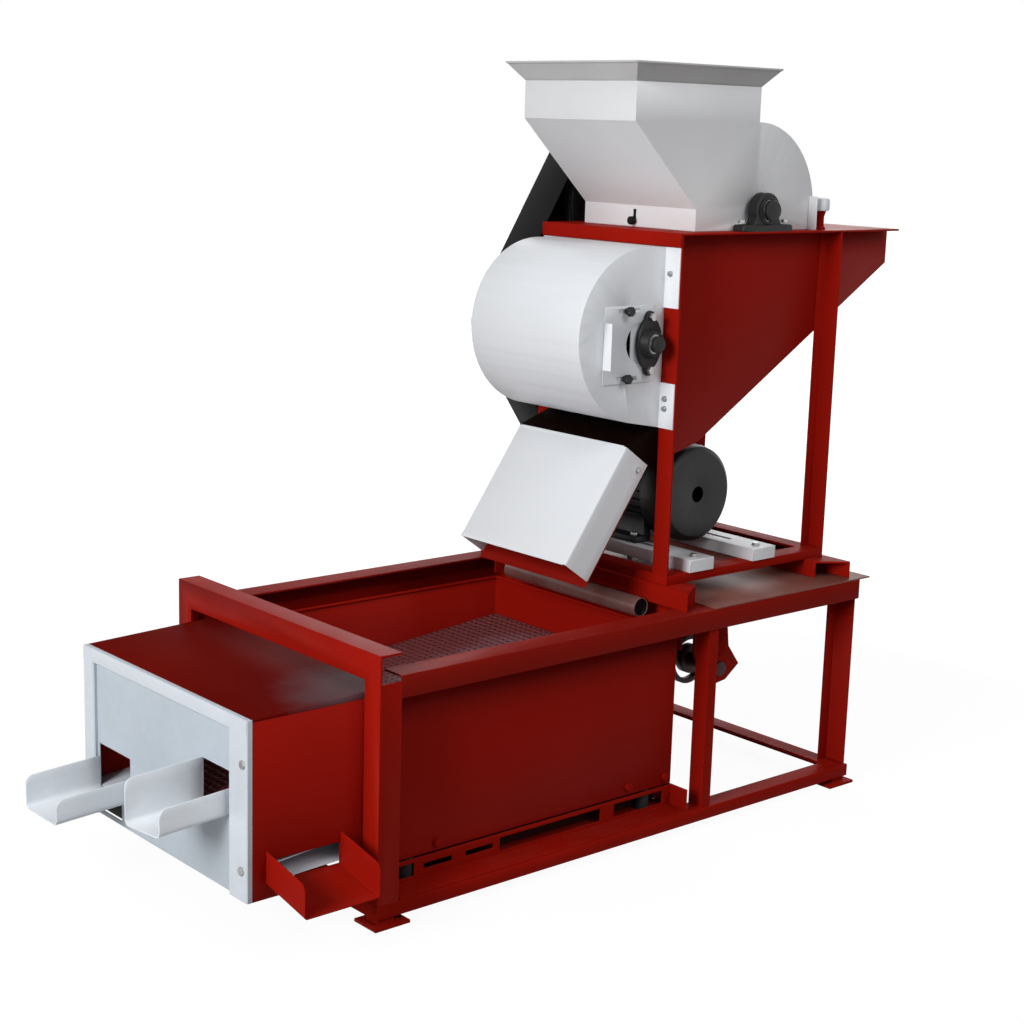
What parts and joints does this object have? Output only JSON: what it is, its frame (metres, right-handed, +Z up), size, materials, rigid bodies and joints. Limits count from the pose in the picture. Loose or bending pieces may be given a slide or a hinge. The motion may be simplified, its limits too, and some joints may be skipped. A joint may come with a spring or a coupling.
{
  "type": "peanut decorticator",
  "caption": "Free-standing electric peanut sheller: hopper over a bar drum, blower duct, kernel chute and shaking sieve box on an angle-bar frame.",
  "frame": {"origin": "floor level under the middle of the machine's outside box", "axes": "+X along the machine from the spouts towards the hull outlet, +Y from the side chute side towards the belt guard, +Z up"},
  "size_m": [1.761, 0.713, 1.458],
  "materials": {
    "red_paint": "gloss red paint",
    "white_paint": "satin white paint",
    "hopper_paint": "satin light grey paint",
    "black_paint": "satin black paint",
    "bearing_iron": "painted casting",
    "bare_steel": "machined steel",
    "zinc_sheet": "galvanised sheet",
    "zinc_bolt": "zinc plated",
    "belt_rubber": "belt rubber",
    "mount_rubber": "moulded rubber",
    "knob_plastic": "black plastic"
  },
  "bodies": {
    "frame": {"top_rails": "red_paint", "base_frame": "red_paint", "foot_plates": "red_paint", "portal_frame": "red_paint", "end_legs": "red_paint", "middle_posts": "red_paint", "deck_plate": "red_paint", "tower_cross_members": "red_paint", "tower_base_frame": "red_paint", "uprights_front": "red_paint", "uprights_rear": "red_paint", "top_plate": "red_paint", "separation_duct": "red_paint", "blower_housing": "white_paint", "fan_bearings": "bearing_iron", "chute_cover": "white_paint", "kernel_chute": "red_paint", "rolled_lip": "red_paint", "motor_body": "black_paint", "motor_cowl": "black_paint", "motor_rails": "white_paint", "hopper_rim": "hopper_paint", "hopper_body": "hopper_paint", "pillow_block_front": "bearing_iron", "pillow_block_rear": "bearing_iron", "bar_concave": "bare_steel", "drum_belt": "belt_rubber", "fan_belt": "belt_rubber", "shaker_belt": "belt_rubber", "belt_guard": "black_paint", "shaker_brackets": "red_paint", "sieve_sills": "red_paint", "rubber_mounts": "mount_rubber", "frame_bolts": "zinc_bolt"},
    "drum": {"shelling_drum": "bare_steel", "drum_shaft": "bare_steel", "drum_pulley": "bearing_iron"},
    "fan": {"fan_impeller": "bare_steel", "fan_shaft": "bare_steel", "fan_pulley": "bearing_iron"},
    "motor_rotor": {"motor_shaft": "bare_steel", "motor_pulley": "bearing_iron"},
    "shaker": {"shaker_shaft": "bare_steel", "shaker_pulley": "bearing_iron"},
    "sieve_box": {"sieve_walls": "red_paint", "sieve_cover": "red_paint", "upper_tray": "zinc_sheet", "kernel_screen": "zinc_sheet", "bottom_pan": "zinc_sheet", "end_plate": "white_paint", "low_spout": "zinc_sheet", "high_spout": "zinc_sheet", "side_chute": "red_paint", "connecting_rods": "bare_steel", "sieve_bolts": "zinc_bolt"},
    "shutter": {"air_shutter": "white_paint"},
    "knob_lower": {"clamp_knob_lower": "knob_plastic"},
    "knob_upper": {"clamp_knob_upper": "knob_plastic"},
    "gate": {"feed_gate": "bare_steel"}
  },
  "joints": [
    {"name": "drum_spin", "type": "hinge", "parent": "frame", "child": "drum", "pos_m": [0.4705, 0.0265, 1.19], "axis": [0, 1, 0], "continuous": true},
    {"name": "fan_spin", "type": "hinge", "parent": "frame", "child": "fan", "pos_m": [0.1845, 0.0265, 0.945], "axis": [0, 1, 0], "continuous": true},
    {"name": "motor_spin", "type": "hinge", "parent": "frame", "child": "motor_rotor", "pos_m": [0.4115, 0.0265, 0.62], "axis": [0, 1, 0], "continuous": true},
    {"name": "shaker_spin", "type": "hinge", "parent": "frame", "child": "shaker", "pos_m": [0.3885, 0.0265, 0.285], "axis": [0, 1, 0], "continuous": true},
    {"name": "sieve_shake", "type": "slide", "parent": "frame", "child": "sieve_box", "axis": [1, 0, 0], "range_m": [-0.005, 0.005], "stiffness_N_per_m": 60000},
    {"name": "shutter_slide", "type": "slide", "parent": "frame", "child": "shutter", "axis": [1, 0, 0], "range_m": [-0.03, 0.015]},
    {"name": "knob_lower_turn", "type": "hinge", "parent": "frame", "child": "knob_lower", "pos_m": [0.1285, 0.0265, 0.881], "axis": [0, 1, 0], "range_deg": [0, 360]},
    {"name": "knob_upper_turn", "type": "hinge", "parent": "frame", "child": "knob_upper", "pos_m": [0.1285, 0.0265, 1.007], "axis": [0, 1, 0], "range_deg": [0, 360]},
    {"name": "gate_lift", "type": "slide", "parent": "frame", "child": "gate", "axis": [0, 0, 1], "range_m": [0, 0.018]}
  ],
  "couplings": [
    {"joint": "motor_spin", "follows": "drum_spin", "ratio": 3.5556},
    {"joint": "fan_spin", "follows": "drum_spin", "ratio": 3.6364},
    {"joint": "shaker_spin", "follows": "drum_spin", "ratio": 1.7778}
  ]
}
